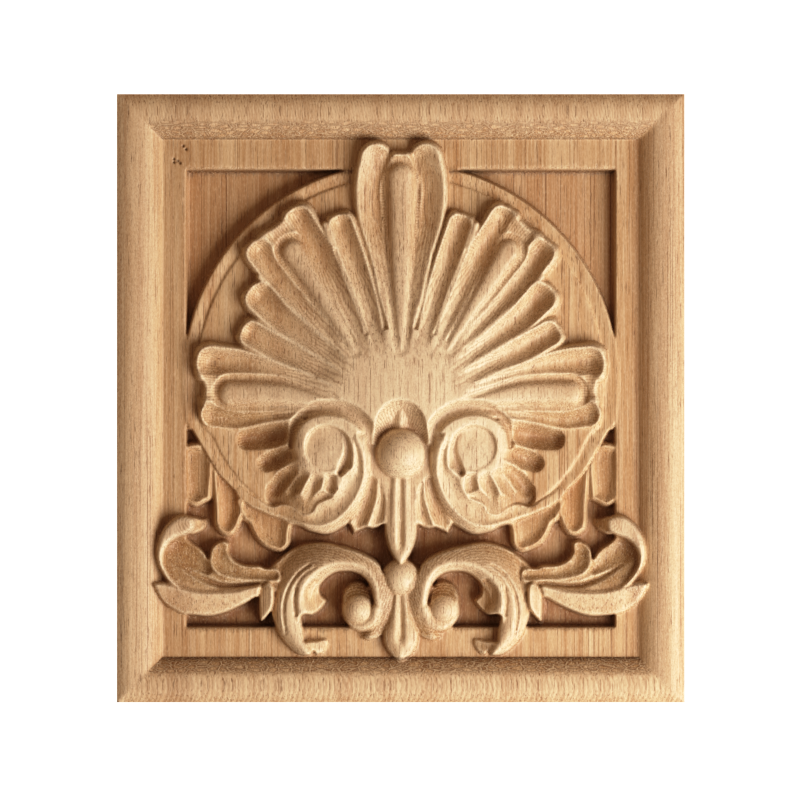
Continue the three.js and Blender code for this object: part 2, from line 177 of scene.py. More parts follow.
drops = [
    [[46.5, -12], [46.4, -24], [46.8, -25.2], [48.2, -25.9], [50.5, -27], [52.6, -26.3],
     [54, -24.7], [54.4, -22], [54.5, -12]],
    [[38.3, -12], [38.3, -27], [39, -30], [40, -32.4], [41.2, -33.8], [42.8, -34.2], [44.3, -33.8],
     [45.7, -32.5], [46.3, -30.6], [46.4, -27], [46.6, -12]],
    [[27, -24], [27, -34], [27.3, -36.3], [28.6, -37.8], [30.2, -38.2], [33, -37.3], [35.3, -35.7],
     [36.9, -33.3], [37.8, -31.2], [39.5, -29.6], [40.5, -24]],
]
bevel = 1.1
bevel_fall = 1.7
scoop_depth = 1.5
scoop_run = 2.6
drop_corner = 0.25


def tint_torn_grain_and_shade(part, amount):
    """Tints greenish brown, at least this much of it: grain torn by the cutter, and painted shade
    in some hollows
    """
    torn_grain_and_painted_shade[part] = np.maximum(torn_grain_and_painted_shade[part], amount)


for edge, orange_share in zip(drops, (0.15, 0.6, 0.15)):
    part, gap = outlined(edge)
    rim_level = block_t - bevel_fall * np.clip(1 + gap / bevel, 0, 1)
    scoop = scoop_depth * (1 - (1 - np.clip((-gap - bevel) / scoop_run, 0, 1)) ** 2)
    below_disc = 1 - in_disc[part]
    build_up(part, rim_level - scoop, wall(gap, drop_corner) * below_disc)
    deepest = ease((-gap - bevel) / 1.5) * below_disc
    tint_torn_grain_and_shade(part, 0.5 * deepest)
    orange[part] = np.maximum(orange[part], deepest * orange_share)

# Shell: a low dome with hollow flutes fanned out from a plain centre. Single flutes end in round
# fingers. Three double petals, at the top and the sides, hold a raised tongue between two flutes.

dome_z = 2
dome_r = 45
shell_rise = 8.3
tip_rise = 3.9
petal_lift = 2.4
petal_run = 21
low_sink = 3.7


def dome(x, z):
    """The level of the shell's ground, and of the crests between its flutes"""
    r = np.hypot(x, z - dome_z)
    swell = 0.5 + 0.5 * np.cos(math.pi * np.minimum(r, dome_r) / dome_r)
    lift = petal_lift * (np.maximum(r - dome_r, 0) / petal_run) ** 2
    sink = low_sink * ease((-z - 2) / 8) * ease((x - 23) / 9)
    return block_t + tip_rise + (shell_rise - tip_rise) * swell + lift - sink


def along(run, step=0.3):
    """Close stations on a smooth line through a run's stations x, z, half width, with the share"""
    run = np.array(run, float)
    line = np.vstack([2 * run[0] - run[1], run, 2 * run[-1] - run[-2]])
    rows = []
    for i in range(len(run) - 1):
        count = max(2, round(math.dist(line[i + 1][:2], line[i + 2][:2]) / step))
        t = np.arange(count)[:, None] / count
        rows.append(bend(*line[i:i + 4], t))
    rows = np.vstack([*rows, run[-1:]])
    length = np.r_[0, np.cumsum(np.hypot(*np.diff(rows[:, :2], axis=0).T))]
    return np.column_stack([rows, length / length[-1]])


def near(run, pad=0.5):
    """Around a run: part of the net, gap to its edge, q across it, share along, radius, signed q"""
    line = along(run)
    reach = line[:, 2].max() + pad
    part = window(line[:, 0].min() - reach, line[:, 0].max() + reach,
                  line[:, 1].min() - reach, line[:, 1].max() + reach)
    x, z = net_x[part], net_z[part]
    gap = np.full(x.shape, np.inf)
    best = np.zeros(x.shape, int)
    for i, (at_x, at_z, r, _) in enumerate(line):
        to_edge = np.hypot(x - at_x, z - at_z) - r
        closer = to_edge < gap
        gap[closer] = to_edge[closer]
        best[closer] = i
    at_x, at_z, r, share = np.moveaxis(line[best], -1, 0)
    ahead = line[np.minimum(best + 1, len(line) - 1)]
    behind = line[np.maximum(best - 1, 0)]
    run_x, run_z = (ahead[..., k] - behind[..., k] for k in (0, 1))
    side = np.sign(run_x * (z - at_z) - run_z * (x - at_x))
    q = np.hypot(x - at_x, z - at_z) / r
    return part, gap, q, share, r, side * q


def comb(part, travel, amount):
    """Fine ridges left by the passes of the cutter: how far across them, in mm, and how strong"""
    stronger = amount > combed[part]
    passes[part] = np.where(stronger, travel, passes[part])
    combed[part] = np.maximum(combed[part], amount)


def smooth_off(part, where, left=0):
    """Where a form is scraped smooth, this much of the combing is left"""
    combed[part] = np.where(where, left, combed[part])


def spread_shell(part, cover):
    """The shell reaches over this much more of the disc"""
    shell_cover[part] = np.maximum(shell_cover[part], cover)


top_flute = [[6.2, 59.2, 4.5], [7.9, 53, 3.9], [7.5, 45, 3.8], [5.7, 35, 2.7], [3.8, 25, 1.7],
             [2, 15, 0.8]]
flutes = [
    top_flute,
    [[14.7, 42.8, 3.3], [12, 35, 3.2], [8.9, 26, 2.8], [6.6, 18, 2.4], [4.8, 12.3, 1.7]],
    [[25.2, 44.3, 3.7], [20, 35.3, 3.8], [15.7, 27.3, 2.9], [11.2, 18, 2.1], [8.4, 10.5, 1.2]],
    [[34.5, 36, 3.9], [30, 29.7, 3.4], [24, 22.9, 2.6], [18, 16.6, 2], [12.8, 10.6, 1.1]],
    [[34.4, 24.9, 4.3], [30, 20.2, 3.6], [24, 15.6, 2.9], [18, 11.2, 2.2], [12.8, 7.2, 1.4]],
    [[36.7, 15.9, 3.5], [30, 12.1, 3.4], [24, 9.3, 2.8], [18, 6.3, 2.2], [14, 3.9, 1.4]],
    [[46.6, 8.6, 4.6], [40, 8.5, 3.7], [33, 7.3, 2.6], [25, 5, 2], [16, 1.4, 1.2]],
    [[46.2, -3.9, 3.4], [40, -4.9, 2.8], [33, -4.1, 2.1], [26, -3.4, 1.4], [20, -2.7, 0.7]],
    [[37.9, -10.2, 2.9], [33, -9.4, 3.3], [26, -8, 2.8]],
    [[33.2, -16, 2.5], [30, -14.8, 2.6], [25.8, -12.9, 2.2]],
    [[31, -23, 2.6], [28.5, -20, 2.5], [24.8, -16.6, 2]],
    [[27.2, -23.8, 1.9], [25, -20, 1.9], [23, -17.6, 1.5]],
    [[23.4, -26.3, 1.9], [21.7, -22, 1.9], [20, -18.4, 1.5]],
    [[17.4, -22.2, 1.8], [17.1, -18.4, 1.4]],
    [[13, -16.4, 1.2], [13, -14.2, 1]],
]
bridges = [
    [[27, 42.4, 3.2], [29.8, 40, 3.2], [32.8, 38.2, 3.4]],
    [[46.4, 5.6, 3.2], [46, 2.4, 2.8], [46.3, -1.2, 3]],
    [[-3.6, 58.6, 2.8], [0, 58.4, 2.6], [3.6, 58.6, 2.8]],
]
tongues = [
    [[26.6, 36.2, 3.3], [23, 30.5, 2.6], [19, 24.2, 1.9], [15.2, 18, 1.2], [11.5, 12, 0.5]],
    [[41.8, 1.2, 3.5], [36, 1.3, 3.3], [30, 1.1, 3], [24, 0.2, 2.2], [17.5, -1, 0.9]],
    [[0, 54.5, 3.9], [0, 45, 3.6], [0, 34, 2.9], [0, 23, 1.9], [0, 12.5, 0.5]],
]
grounds = [
    [[-9, 1, 13], [0, 3, 15], [9, 1, 13]],
    [[19, -11.5, 8], [18, -11.9, 8]],
    [[25, -20, 6.5], [18.5, -22, 5.6], [13, -17, 5]],
    [[34.6, 29.9, 1.3], [31, 26.8, 1.4]],
    [[18.6, 42.8, 1.2], [16.8, 37, 1.2]],
]
first_low_flute = 7
rim = 0.15
joined_rim = 1
nose = 0.14
flute_share = 0.72
low_flute_share = 0.95
bridge_share = 0.5
top_floor = -0.55
focus_from_tip = 1.8
bridge_comb_r = 50

shell_cover = np.zeros(net_x.shape)
dome_face = dome(net_x, net_z)
shell = dome_face.copy()
for number, run in enumerate(flutes + bridges):
    part, gap, q, share, r, offset = near(run, pad=1.6)
    x, z = net_x[part], net_z[part]
    (tip_x, tip_z, tip_r), (next_x, next_z, _) = run[:2]
    heading = math.atan2(next_z - tip_z, next_x - tip_x)
    sideways = ((z - tip_z) * math.cos(heading) - (x - tip_x) * math.sin(heading)) / r
    sideways = np.where(share > 0, offset, sideways)
    is_flute = number < len(flutes)
    low_flute = is_flute and number >= first_low_flute

    # The rims of neighbours join, and only the round tips of the fingers stand free
    free = 0.5 if run is top_flute else 0.3
    joined = ease((share - free) / 0.3)
    if 0 < number < first_low_flute:
        joined = np.where(share > 0, 1, ease((abs(sideways) - 0.2) / 0.7))
    lip = rim + (joined_rim - rim) * joined * is_flute
    spread_shell(part, wall(gap - lip, 0.6 if low_flute else 1.6))

    # The top flutes are deepest on their inner side, the others in the middle
    if run is top_flute:
        past_tip = np.where(share > 0, 0, np.sqrt(np.maximum(q ** 2 - sideways ** 2, 0)))
        outwards = np.clip((sideways - top_floor) / (1 - top_floor), 0, 1)
        inwards = np.clip((top_floor - sideways) / (1 + top_floor), 0, 1)
        hollow = (1 - outwards ** 1.5) * (1 - inwards ** 2) * np.clip(1 - past_tip ** 2.2, 0, 1)
    else:
        inside_nose = 1 - nose * ease((0.4 - share) / 0.4) * (not low_flute)
        hollow = np.clip(1 - (q / inside_nose) ** 2, 0, 1)
    depth = low_flute_share if low_flute else flute_share if is_flute else bridge_share
    hollow = depth * r * hollow * ease((1.02 - share) / 0.3)
    shell[part] = np.minimum(shell[part], dome_face[part] - hollow)
    if low_flute:
        # Painted shade, greenish brown, in the hollows of the low flutes
        tint_torn_grain_and_shade(part, 0.8 * np.clip(1.1 - q ** 2, 0, 1) * ease((0.8 - share) / 0.5))

    # The cutter's passes fan out in the flutes, and run along their outer walls
    length = sum(math.dist(a[:2], b[:2]) for a, b in zip(run, run[1:]))
    focus_x = tip_x + focus_from_tip * tip_r * math.cos(heading)
    focus_z = tip_z + focus_from_tip * tip_r * math.sin(heading)
    fan = np.arctan2(z - focus_z, x - focus_x) * 2.6 * tip_r
    from_focus = np.hypot(x - focus_x, z - focus_z) / tip_r
    if is_flute:
        comb(part, fan, (q < 1) * 0.5 * ease((from_focus - 1.3) / 1.2))
        comb(part, share * length, (q < 1) * 0.8 * q ** 3 * (offset < 0))
    else:
        comb(part, np.arctan2(x, z - dome_z) * bridge_comb_r, (q < 1) * 0.5)
for run in grounds:
    part, gap, q, share, r, offset = near(run)
    spread_shell(part, wall(gap, 0.8))
under_volute = [[31, -24.5, 2.8], [27.5, -26, 3], [23, -27, 3], [19, -25.5, 3]]
part, gap, q, share, r, offset = near(under_volute)
spread_shell(part, wall(gap, 0.8))
sunk = np.minimum(shell[part], dome_face[part] - 1.6 * wall(gap, 1.5))
shell[part] = np.where(q < 1, sunk, shell[part])
for run in tongues:
    part, gap, q, share, r, offset = near(run, pad=2)
    spread_shell(part, wall(gap - joined_rim, 0.8))
    bed = dome_face[part] - 0.6 * r * ease((1.8 - gap) / 0.9)
    shell[part] = np.minimum(shell[part], bed)
    crest = dome_face[part] - 0.1 * r - 0.62 * r * q ** 3.2
    shell[part] = np.where(q < 1.2, np.maximum(shell[part], crest), shell[part])
    smooth_off(part, q < 0.9, 0.15)

# Volutes: the shell's lower corners curl into a spiral roll around a sunk eye with a round button.
# A scalloped band runs on from each roll, under the small fingers and out into the disc's rim.

band_edge = [[7, -11.5], [6.9, -16], [7.3, -20], [8.3, -24], [10, -27.5], [12.7, -31], [15, -32.5],
             [17, -33.5], [19, -33.8], [21, -33.4], [23, -32.8], [25, -31.7], [27, -31.3],
             [30, -30], [35, -28], [37.5, -26.8], [41, -23.6], [39.6, -21.8], [37, -23.6],
             [34.4, -25], [33, -26], [31.5, -26.5], [30, -26], [28, -26], [26, -27], [24, -28.5],
             [22, -28], [20.7, -25.9], [18.5, -24.8], [16.5, -23.9], [14.9, -21.6], [14.2, -19.4],
             [12.9, -18.4], [11.6, -16.8], [11.2, -14], [11.6, -9], [8.6, -8.5]]
part, gap = outlined(band_edge)
band_crown = [[9.4, -10.5, 1], [8.9, -14, 1], [8.9, -17, 1], [9.4, -20, 1], [10.5, -23.2, 1],
              [12.2, -26.1, 1], [14.4, -28.6, 1], [17.2, -30.6, 1], [21, -31.4, 1], [26, -30.2, 1],
              [33, -27.6, 1], [39, -25.4, 1]]
dish_depth = 1.1
ribbon_rise = 0.9
crown_part, *_, crown_offset = near(band_crown, pad=8)
off = laid(crown_part, -crown_offset)[part]
in_dish, past_crown = np.maximum(-off, 0), np.maximum(off, 0)
reach = in_dish + np.maximum(-gap, 0) + 0.01
dish = 4 * in_dish * np.maximum(-gap, 0) / reach ** 2
out = ease((net_x[part] - 16) / 22)
band_level = dome_face[part] - 0.1 - dish_depth * dish - 0.95 * past_crown
ribbon = block_t + disc_lift + ribbon_rise * (1 - ease((net_x[part] - 30) / 9))
band_level = band_level * (1 - out) + (ribbon - 0.25 * past_crown) * out
spread_shell(part, wall(gap, 0.7))
banded = shell[part] + (band_level - shell[part]) * wall(gap, 0.5)
shell[part] = np.where(gap < 0, banded, shell[part])
smooth_off(part, gap < 0)
comb(part, net_z[part] + net_x[part], (gap < 0) * (off > 0.2) * 0.35)

spiral = [[19.3, -18.2, 0.9], [22.6, -16.3, 1.1], [24.3, -12.7, 1.15], [23.6, -8.9, 1.15],
          [20.8, -6.4, 1.15], [16.5, -5.9, 1.25], [12.6, -7.8, 1.4], [10.2, -11.2, 1.5],
          [9.2, -14.6, 1.4], [9, -18, 1.1]]
groove = [[7.2, -12.8, 1.4], [8.6, -6.8, 2], [13, -3.2, 2.2], [18.5, -2.3, 2.1], [23.4, -3.6, 1.9],
          [26.6, -7.6, 1.4], [27.2, -12, 0.9]]
channel = [[14.9, -18.3, 1], [13.8, -16.2, 1.5], [13.1, -13, 1.2], [14, -9.3, 0.8], [17, -7.7, 0.6],
           [20.3, -8.3, 0.6], [22.2, -10.4, 0.6], [22.6, -13, 0.4]]
eye_place = [[18.4, -12.2, 5.6], [18.3, -12.3, 5.6]]
button_place = [[18.2, -12.9, 4], [18.4, -12.7, 4]]
button_neck = [[18.8, -15.8, 1.8], [19.4, -18.2, 1.3]]
groove_depth = 2.2
eye_sink = 0.3
eye_tilt = 1.2
button_tilt = 0.8
channel_depth = 2.2
tilt = ease((net_z + 17) / 9)


def bowl(q):
    """The section of a round-bottomed cut: 1 in its middle, 0 at its edge"""
    return np.clip(1 - q * q, 0, 1)


part, gap, q, share, r, offset = near(groove)
shell[part] = np.minimum(shell[part], dome_face[part] - groove_depth * bowl(q))
# Painted shade in the groove round the volute
tint_torn_grain_and_shade(part, 0.35 * bowl(q))
part, gap, q, share, r, offset = near(eye_place)
shell[part] = np.where(gap < 0, dome_face[part] - eye_sink - eye_tilt * tilt[part], shell[part])
smooth_off(part, gap < 0)
part, gap, q, share, r, offset = near(spiral)
roll = dome_face[part] + 0.5 * ease((1 - share) / 0.3) - 1.9 * q * q
shell[part] = np.where(q < 1.1, np.maximum(shell[part], roll), shell[part])
smooth_off(part, q < 1.1)
part, gap, q, share, r, offset = near(button_place)
button = dome_face[part] - eye_sink - button_tilt * tilt[part] - 0.9 * q ** 2.4
shell[part] = np.where(q < 1, np.maximum(shell[part], button), shell[part])
part, gap, q, share, r, offset = near(button_neck)
neck = dome_face[part] - eye_sink - 0.6 * q * q
shell[part] = np.where(q < 1, np.maximum(shell[part], neck), shell[part])
part, gap, q, share, r, offset = near(channel)
depth = (channel_depth - 1.2 * share) * bowl(q)
shell[part] = np.minimum(shell[part], dome_face[part] - depth)

build_up(slice(None), shell, shell_cover)
face[:] = np.where(shell_cover > 0.98, shell, face)
combed[shell_cover < 0.05] = 0

# Bead, hood, tongue and side leaves: a round bead sits in a hollow hood at the foot of the shell,
# and a pointed tongue with a middle vein hangs from it between two pairs of small leaves.

bead_rise = 8.8
bead_r = 6.4
bead_z = -13.7
hood_depth = 4.2
leaf_rise = 3.6
tongue_rise = 5.2
vein_depth = 1.3


def cut_down(part, level, cover):
    """A cut sinks the face to this level where it is covered"""
    face[part] = np.minimum(face[part], face[part] + (level - face[part]) * cover)


hood = [[-2.2, -0.5], [0, -0.2], [2.2, -0.6], [4.2, -1.9], [5.7, -4], [6.6, -7], [7, -10.5],
        [6.6, -15], [5, -18.5], [0, -20.2], [-2, -20]]
part, gap = outlined(hood)
scoop = dome_face[part] - 0.3 - hood_depth * (1 - (1 - np.clip(-gap / 6, 0, 1)) ** 2)
scoop -= 1.6 * ease((-5 - net_z[part]) / 5)
cut_down(part, scoop, wall(gap, 0.7))
around = np.arctan2(net_x[part], net_z[part] - bead_z) * 10
smooth_off(part, True)
comb(part, around, (gap < -0.2) * (net_z[part] > bead_z) * 0.55)

leaf_edge = [[-3, -11.3], [7.8, -11.3], [7.8, -17], [8.3, -20], [9.3, -24], [11, -27.5],
             [13.1, -30.8], [12.4, -32], [11.8, -33.6], [10.4, -32.9], [8.4, -32], [7, -32.4],
             [5.6, -32.1], [4.4, -31.4], [-3, -30]]
part, gap = outlined(leaf_edge, round_off=False)
build_up(part, block_t + leaf_rise + 0.03 * (net_z[part] + 30), wall(gap, 0.6))
inside = laid(part, wall(gap, 0.6))
scoops = [
    [[6.4, -31.6, 1.7], [5.3, -28, 1.5], [4.8, -24.5, 1], [5.2, -21, 0.4]],
    [[11.4, -32.6, 2.5], [9.6, -28.6, 2.4], [8, -24.5, 2], [7.1, -20.5, 1.4]],
]
for run in scoops:
    part, gap, q, share, r, offset = near(run)
    cut_down(part, face[part] - 0.75 * r * bowl(q), inside[part])
    comb(part, offset * r * 1.2, (q < 1) * 0.3)

tongue = [[0, -18.5, 2.4], [0, -22, 3], [0, -26, 3.6], [0, -31, 4.3], [0, -34.5, 3.9], [0, -37, 3],
          [0, -39, 2], [0, -41.3, 0.4]]
part, gap, q, share, r, offset = near(tongue)
vein = vein_depth * np.exp(-(net_x[part] / 0.8) ** 2) * ease((net_z[part] + 39) / 4)
build_up(part, block_t + tongue_rise - 1.2 * share - 1.7 * q ** 2 - vein, wall(gap, 0.7))
smooth_off(part, q < 1, 0.2)

part, gap, q, share, r, offset = near([[0, bead_z, bead_r], [0.05, bead_z, bead_r]])
build_up(part, block_t + bead_rise - bead_r * (1 - np.sqrt(bowl(q))), (q < 1) * 1.0)
smooth_off(part, q < 1)

# Scrolls: on each side of the lower tongue a C-scroll of two rolls curls round a small ball, which
# lies on a ramp in its inner end. A pointed barb stands outside, a bud and a veined tongue between.

scroll_edge = [[4.2, -42.6], [5, -40.9], [7, -39.2], [10, -37.7], [13, -36.7], [16, -36],
               [18.5, -35.5], [21, -35.4], [23.5, -35.8], [26, -36.7], [28, -37.8], [30.5, -39.8],
               [33, -42.6], [32.4, -45], [31.4, -47], [31.4, -50], [31.6, -54], [31.2, -57],
               [30, -59.4], [28, -61.6], [25.4, -63.4], [22.4, -63.4], [21.6, -62.4], [20.8, -63.3],
               [19.3, -62.8], [18.2, -61.3], [17.9, -60], [18.5, -59.3], [21, -59.7], [23.5, -60],
               [23.9, -58.5], [24.1, -56.5], [24.5, -54.3], [23.8, -53.5], [21.8, -53.6],
               [20, -52.6], [18.6, -51], [18.2, -49.8], [19.6, -48.4], [19.8, -46.7], [19, -45.3],
               [17.8, -44.1], [16.2, -43.2], [14.5, -42.9], [12, -43], [10, -43.8], [8.5, -45.2],
               [7.6, -46.8], [7.1, -48.8], [7, -51], [8.5, -54], [10.8, -56.4], [10.5, -58.2],
               [9.9, -59.5], [8, -59.8], [6, -59.4], [4.5, -58.6], [1, -57], [1, -50], [2, -46]]
part, gap = outlined(scroll_edge)
scroll_cover = laid(part, wall(gap, 0.5))
scroll_rise = 4.6
end_fall = 2.4
limb_rise = 4
cup_depth = 2.9

inner_crest = [[7.6, -58.5, 1], [6.2, -55.5, 1], [5.4, -52.5, 1], [5.6, -49.5, 1], [5.9, -47, 1],
               [6.9, -44.2, 1], [8.9, -41.9, 1], [11.5, -40.8, 1], [14.5, -40.5, 1], [17.5, -41, 1],
               [20.5, -42.4, 1], [23.2, -44.8, 1], [24.6, -47.6, 1], [24.9, -50.4, 1],
               [24.2, -52.7, 1]]
part, gap, q, share, r, offset = near(inner_crest, pad=9)
outside = np.maximum(offset, 0)
rise = scroll_rise - end_fall * (1 - ease(share / 0.25))
level = block_t + rise - 0.26 * outside - 0.05 * outside ** 2
level = level - 0.75 * np.maximum(-offset, 0) ** 1.4
build_up(part, np.maximum(level, block_t + 0.3), scroll_cover[part])
hatched = (offset > 0.6) * ease(share / 0.2) * ease((0.9 - share) / 0.25)
comb(part, offset - 24 * share, scroll_cover[part] * (0.05 + 0.6 * hatched))
scroll_scales = laid(part, scroll_cover[part] * hatched * 0.35)
# Greenish brown on the hatched outer slope: torn grain, and painted shade where the slope turns
# from the lamp
tint_torn_grain_and_shade(part, 0.75 * scroll_cover[part] * hatched)
limb = [[22.8, -63, 0.9], [25, -60.4, 2.2], [27, -56.4, 3.2], [27.6, -52, 3.4], [27.2, -48, 3],
        [25.6, -44.6, 2.2]]
part, gap, q, share, r, offset = near(limb)
build_up(part, block_t + limb_rise - 1.8 * q ** 2, scroll_cover[part] * (q < 1.1))
for run, depth in (
        ([[22.4, -41, 0.3], [25.5, -43.5, 0.4], [27.6, -46.8, 0.45], [28.7, -50.5, 0.45],
          [28.8, -54, 0.4], [28.2, -58, 0.2]], 0.9),
        ([[25.6, -46.8, 0.4], [26.1, -49.6, 0.5], [25.8, -53.4, 0.4]], 1.1),
        ([[20.8, -41.6, 0.2], [24, -43.8, 0.3], [26.4, -47.4, 0.2]], 0.6),
        ([[29.2, -42.6, 0.3], [30.4, -46, 0.35], [30.6, -50, 0.2]], 0.5)):
    part, gap, q, share, r, offset = near(run)
    cut_down(part, face[part] - depth * bowl(q), scroll_cover[part])
for run, rise in (([[32.4, -45.4, 1], [31.3, -47.6, 1.4], [31.1, -52, 1.2], [31, -55, 0.6]], 1.4),
                  ([[7.6, -47.5, 1.4], [7.3, -50.5, 1.1], [8.4, -54, 1], [10.4, -56.6, 0.9]], 0.1)):
    part, gap, q, share, r, offset = near(run)
    build_up(part, block_t + rise, wall(gap, 0.4))
foot_curl = [[18.2, -61.3], [17.9, -60], [18.5, -59.3], [21, -59.8], [23.5, -60], [24.5, -62],
             [22.8, -63.4], [21.6, -62.5], [20.8, -63.3], [19.3, -62.8]]
part, gap = outlined(foot_curl)
build_up(part, block_t + 0.9 + 0.35 * (net_x[part] - 18), wall(gap, 0.4))
cup = [[20.8, -45.6, 1.5], [21.8, -48.2, 2.3], [21.5, -50.6, 1.8]]
part, gap, q, share, r, offset = near(cup)
cup_level = block_t + scroll_rise - cup_depth * np.clip(1.15 - q * q, 0, 1)
cut_down(part, cup_level, scroll_cover[part] * (q < 1))
smooth_off(part, q < 1, 0.1)

ball_x = 10.4
ball_z = -52.2
ball_r = 3.9
ball_foot = 0.6
ball_rise = 3.8
ramp_sink = 1.6
curl_rise = 4.2
barb_rise = 3.9
bud_r = 4.9
bud_rise = 4.8
ramp_edge = [[7.1, -51.5], [7.4, -48.5], [8.6, -45.8], [10, -45], [11.5, -45.1], [13.1, -46.1],
             [14.1, -47.8], [14.4, -50], [13.6, -53], [9, -54]]
part, gap = outlined(ramp_edge)
climb = block_t - ramp_sink + 0.75 * np.clip(-45 - net_z[part], 0, 5)
build_up(part, climb, wall(gap, 0.4))
smooth_off(part, gap < 0)
from_ball = np.hypot(net_x[part] - ball_x, net_z[part] - ball_z)
comb(part, from_ball, (gap < 0) * 0.7)
# Painted shade on the ramp
tint_torn_grain_and_shade(part, (gap < 0) * 0.9)
part, gap, q, share, r, offset = near([[ball_x, ball_z, ball_r], [ball_x + 0.1, ball_z, ball_r]])
build_up(part, block_t + ball_foot + ball_rise * np.sqrt(bowl(q)), (q < 1) * 1.0)
smooth_off(part, q < 1, 0.25)
torn_grain_and_painted_shade[part] = np.where(q < 1, 0, torn_grain_and_painted_shade[part])
tail = [[3.4, -51, 0.9], [4.4, -55, 1.5], [6.4, -58, 2.2], [9.6, -58.6, 2]]
part, gap, q, share, r, offset = near(tail)
# Painted shade in the hollow tails between the tongue and the rolls
tint_torn_grain_and_shade(part, wall(gap, 1) * scroll_cover[part])
comb(part, offset * r, wall(gap, 1) * scroll_cover[part] * 0.6)
curled_end = [[5.8, -52, 1.5], [6.9, -54.7, 1.6], [9.4, -56.1, 1.5], [12, -55.4, 1.3],
              [13.6, -53.4, 1], [14, -51, 0.6]]
part, gap, q, share, r, offset = near(curled_end)
build_up(part, block_t + curl_rise - 1.1 * q ** 2 - 2.6 * share, wall(gap, 0.5))
smooth_off(part, q < 1, 0.1)
torn_grain_and_painted_shade[part] = np.where(q < 1, 0, torn_grain_and_painted_shade[part])

barb_edge = [[31.4, -46.4], [32.6, -45.2], [34, -45.9], [35, -48.3], [35.1, -51.5], [34.9, -54.4],
             [34.5, -55.2], [33, -54], [31.9, -52.4], [31.3, -50]]
part, gap = outlined(barb_edge)
build_up(part, block_t + barb_rise - 0.5 * (net_x[part] - 31.3), wall(gap, 0.4))
smooth_off(part, gap < 0)

part, gap, q, share, r, offset = near([[0, -44.5, bud_r], [0.05, -44.5, bud_r]])
build_up(part, block_t + 0.4 + bud_rise * np.sqrt(bowl(q)), (q < 1) * 1.0)
lower_tongue = [[0, -47.5, 1.6], [0, -50, 2], [0, -52.5, 2.5], [0, -56, 3.4], [0, -58.6, 4.4],
                [0, -60.2, 4], [0, -62, 2.8], [0, -63.3, 1.6], [0, -64.3, 0.4]]
part, gap, q, share, r, offset = near(lower_tongue)
vein = vein_depth * np.exp(-(net_x[part] / 0.9) ** 2) * ease((net_z[part] + 62) / 4)
build_up(part, block_t + 4.3 - 0.9 * share - 1.5 * q ** 2 - vein, wall(gap, 0.6))
smooth_off(part, q < 1, 0.15)

# Corner leaves: a crescent along the foot, two scooped lobes above it and an outer edge rolled
# over. They cross the fillet, and the moulding, without a joint.

body_rise = 1.6
lobe_rise = 2.3
crescent_rise = 3.3
rolled_rise = 2.4
leaf_body = [[30, -47.5], [30, -42], [33.4, -41.8], [35, -41.2], [38, -41.1], [40, -40.5],
             [41.5, -39.5], [42.4, -37.9], [42.3, -36.2], [42.9, -35.3], [44.2, -35.1],
             [45.7, -35.8], [46.9, -37.2], [47.3, -39.4], [48.2, -38.2], [49.6, -36.8],
             [51.3, -35.7], [52.9, -34.4], [55, -33.5], [58.8, -36], [59, -42], [57, -46.4],
             [53.5, -47.8], [46, -48.4], [40, -48], [34, -47.4]]
part, gap = outlined(leaf_body)
build_up(part, block_t + body_rise - 0.16 * (net_z[part] + 45), wall(gap, 0.5))
leaf_cover = laid(part, wall(gap, 0.5))
tint_torn_grain_and_shade(part, wall(gap, 1.2))
first_lobe = [[30, -45.5], [30, -42.4], [33.4, -41.8], [35, -41.2], [38, -41.1], [40, -40.5],
              [41.5, -39.5], [42.4, -37.9], [42.3, -36.2], [42.9, -35.3], [44.2, -35.1],
              [45.7, -35.8], [46.9, -37.2], [47.4, -39.4], [47.1, -41.4], [46, -43], [44.2, -44.1],
              [40, -45], [35, -45.2]]
part, gap = outlined(first_lobe)
build_up(part, block_t + lobe_rise - 0.2 * (net_z[part] + 44), wall(gap, 0.5))
for run, depth in (
        ([[44.3, -37.8, 2.5], [43.4, -41, 2.7], [38.6, -43.2, 2], [34, -43.5, 1.6],
          [31, -43.6, 1.3]], 1.3),
        ([[54.8, -37.8, 3.4], [51.6, -40, 3.2], [47.8, -42.4, 1.3]], 1.3)):
    part, gap, q, share, r, offset = near(run)
    cut_down(part, face[part] - depth * bowl(q), leaf_cover[part])
crease = [[35.4, -45.9, 0.7], [40, -46.3, 0.9], [43, -46.2, 0.9], [45, -45.9, 0.9], [47.4, -45, 1],
          [50, -43.8, 1], [53, -42, 0.9], [55.6, -40.1, 0.4]]
part, gap, q, share, r, offset = near(crease)
cut_down(part, block_t + 1.5 - 1.6 * np.clip(1 - q, 0, 1), leaf_cover[part] * (q < 1))

crescent_edge = [[34.6, -46], [38, -46.3], [43, -46.6], [50, -46.2], [53, -45.4], [57, -45],
                 [60.8, -45.4], [61, -46.2], [60.3, -47.7], [59.3, -49.6], [58, -51], [56, -52.3],
                 [53.5, -53.4], [50, -53.8], [47, -53.9], [44, -53.3], [41, -52.1], [38, -50.6],
                 [36, -49.4], [34.9, -49.1]]
crest_line = [[33, -45.8, 1], [36, -46.8, 1], [38, -47.3, 1], [40, -47.9, 1], [43, -48.2, 1],
              [46, -48.3, 1], [50, -48.2, 1], [53, -47.6, 1], [55.4, -46.8, 1], [58, -46.3, 1],
              [62, -45.8, 1]]
part, gap, q, share, r, offset = near(crest_line, pad=8)
fall = 1.25 * np.maximum(offset, 0), 0.28 * np.maximum(-offset, 0)
height = laid(part, crescent_rise - fall[0] - fall[1])
part, gap = outlined(crescent_edge)
build_up(part, block_t + height[part], wall(gap, 0.5))
torn_grain_and_painted_shade[part] = np.where(gap < 0, 0, torn_grain_and_painted_shade[part])

